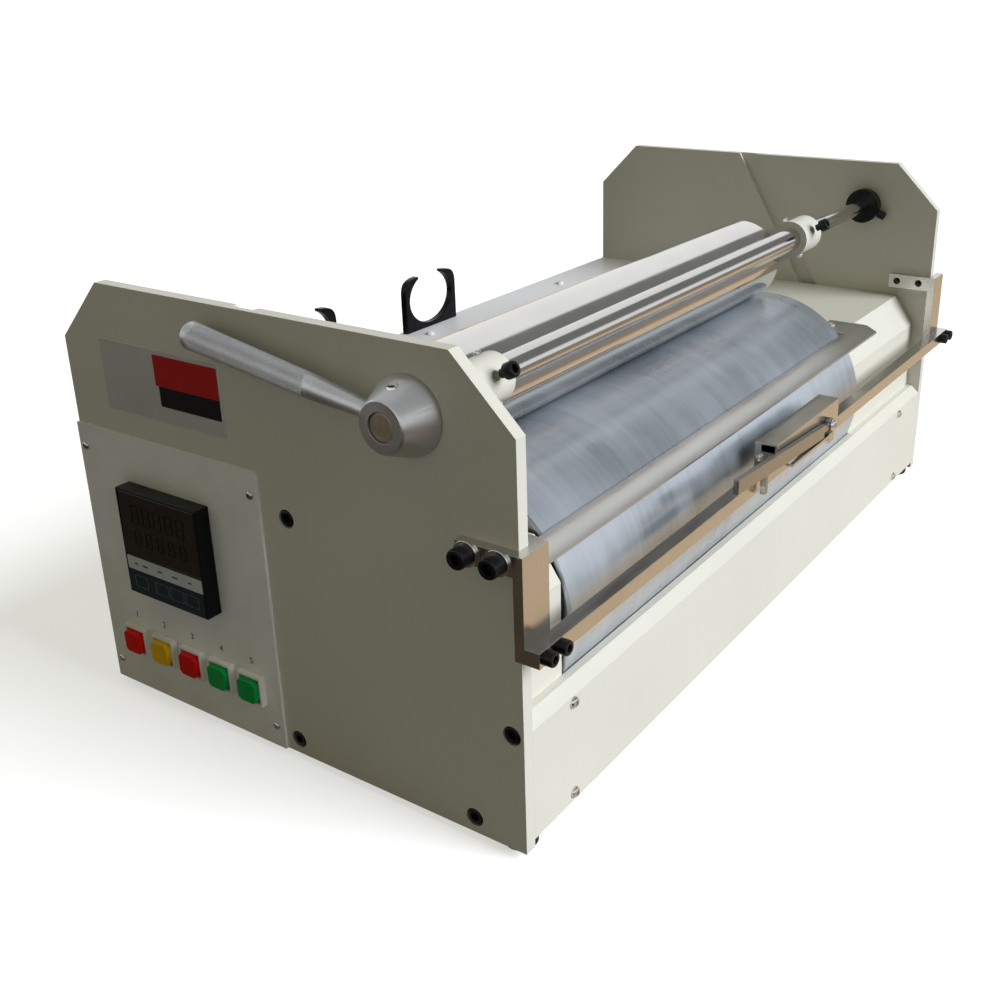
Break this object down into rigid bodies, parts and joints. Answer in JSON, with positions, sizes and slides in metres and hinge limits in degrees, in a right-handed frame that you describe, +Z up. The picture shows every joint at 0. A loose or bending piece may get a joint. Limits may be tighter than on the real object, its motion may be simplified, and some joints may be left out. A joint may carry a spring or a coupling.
{
  "type": "roving length tester",
  "caption": "Bench roving length tester: driven measuring drum between side plates, lever-lifted press roller, front rail with sliding cutter carriage and a control panel.",
  "frame": {"origin": "middle of the whole footprint, at the level of the feet's undersides", "axes": "+X along the drum from the control panel's side plate to the plain one, +Y from front to back, +Z up"},
  "size_m": [0.679, 0.3663, 0.285],
  "materials": {
    "cream_paint": "satin powder coat",
    "grey_steel": "brushed",
    "black_oxide": "black oxide",
    "bright_screw": "bright plated",
    "chrome_plate": "polished",
    "zinc_sheet": "brushed zinc",
    "bare_aluminium": "satin",
    "bronze": "machined",
    "foot_rubber": "matte",
    "belt_rubber": "matte",
    "black_plastic": "moulded",
    "smoked_window": "gloss",
    "key_film": "satin film",
    "white_plastic": "moulded",
    "red_plastic": "moulded",
    "yellow_plastic": "moulded",
    "green_plastic": "moulded",
    "board_green": "solder mask",
    "motor_paint": "painted"
  },
  "bodies": {
    "frame": {"left_side_plate": "cream_paint", "right_side_plate": "cream_paint", "base_tray": "grey_steel", "tie_bars": "grey_steel", "side_plate_screws": "black_oxide", "front_cover": "cream_paint", "left_cover": "cream_paint", "right_cover": "cream_paint", "rear_deck": "cream_paint", "rear_panel": "cream_paint", "cover_screws": "bright_screw", "guard_strip": "grey_steel", "rubber_feet": "foot_rubber", "control_panel": "bare_aluminium", "control_panel_screws": "bright_screw", "meter_case": "black_plastic", "meter_window": "smoked_window", "meter_keypad": "key_film", "button_bezels": "white_plastic", "button_switches": "black_plastic", "nameplate": "bare_aluminium", "roving_clips": "black_plastic", "left_rail_bracket": "chrome_plate", "right_rail_bracket": "chrome_plate", "bracket_screws": "black_oxide", "bracket_washers": "bright_screw", "rail_bar": "chrome_plate", "rail_screws": "black_oxide", "lift_bushes": "bronze", "drum_axle": "grey_steel", "motor_bracket": "grey_steel", "drive_motor": "motor_paint", "drive_belt": "belt_rubber", "photo_sensor": "black_plastic", "control_board": "board_green", "power_inlet": "black_plastic"},
    "drum": {"drum_shell": "zinc_sheet", "drum_discs": "bare_aluminium", "drum_bearings": "grey_steel", "drum_pulley": "bare_aluminium", "slotted_disc": "black_plastic"},
    "motor_rotor": {"motor_pulley": "bare_aluminium"},
    "lift": {"lever_hub": "bare_aluminium", "lever_handle": "bright_screw", "lift_shaft": "chrome_plate", "lift_tube": "chrome_plate", "left_lift_arm": "cream_paint", "right_lift_arm": "cream_paint", "shaft_collar": "black_oxide", "lift_clamp_screws": "black_oxide", "lift_set_screws": "bright_screw"},
    "roller": {"press_roller": "chrome_plate"},
    "carriage": {"rail_carriage": "chrome_plate", "carriage_screws": "bright_screw"},
    "cutter": {"carriage_lever": "chrome_plate"},
    "power_key": {"power_button": "red_plastic"},
    "reset_key": {"reset_button": "yellow_plastic"},
    "stop_key": {"stop_button": "red_plastic"},
    "inch_key": {"inch_button": "green_plastic"},
    "test_key": {"test_button": "green_plastic"}
  },
  "joints": [
    {"name": "drum_spin", "type": "hinge", "parent": "frame", "child": "drum", "pos_m": [-0.04605, -0.07435, 0.118], "axis": [1, 0, 0], "continuous": true},
    {"name": "motor_spin", "type": "hinge", "parent": "frame", "child": "motor_rotor", "pos_m": [0.18195, 0.05565, 0.06], "axis": [1, 0, 0], "continuous": true},
    {"name": "lift_swing", "type": "hinge", "parent": "frame", "child": "lift", "pos_m": [-0.04605, -0.09435, 0.247], "axis": [1, 0, 0], "range_deg": [0, 60]},
    {"name": "roller_spin", "type": "hinge", "parent": "lift", "child": "roller", "pos_m": [-0.04605, -0.05506, 0.22719], "axis": [1, 0, 0], "continuous": true},
    {"name": "carriage_slide", "type": "slide", "parent": "frame", "child": "carriage", "axis": [1, 0, 0], "range_m": [-0.185, 0.24]},
    {"name": "cutter_swing", "type": "hinge", "parent": "carriage", "child": "cutter", "pos_m": [0.04395, -0.18015, 0.142], "axis": [0, 1, 0], "range_deg": [0, 40]},
    {"name": "power_press", "type": "slide", "parent": "frame", "child": "power_key", "axis": [1, 0, 0], "range_m": [0, 0.002], "stiffness_N_per_m": 400, "springref_m": -0.001},
    {"name": "reset_press", "type": "slide", "parent": "frame", "child": "reset_key", "axis": [1, 0, 0], "range_m": [0, 0.002], "stiffness_N_per_m": 400, "springref_m": -0.001},
    {"name": "stop_press", "type": "slide", "parent": "frame", "child": "stop_key", "axis": [1, 0, 0], "range_m": [0, 0.002], "stiffness_N_per_m": 400, "springref_m": -0.001},
    {"name": "inch_press", "type": "slide", "parent": "frame", "child": "inch_key", "axis": [1, 0, 0], "range_m": [0, 0.002], "stiffness_N_per_m": 400, "springref_m": -0.001},
    {"name": "test_press", "type": "slide", "parent": "frame", "child": "test_key", "axis": [1, 0, 0], "range_m": [0, 0.002], "stiffness_N_per_m": 400, "springref_m": -0.001}
  ],
  "couplings": [
    {"joint": "motor_spin", "follows": "drum_spin", "ratio": 2},
    {"joint": "roller_spin", "follows": "drum_spin", "ratio": -2.567}
  ]
}
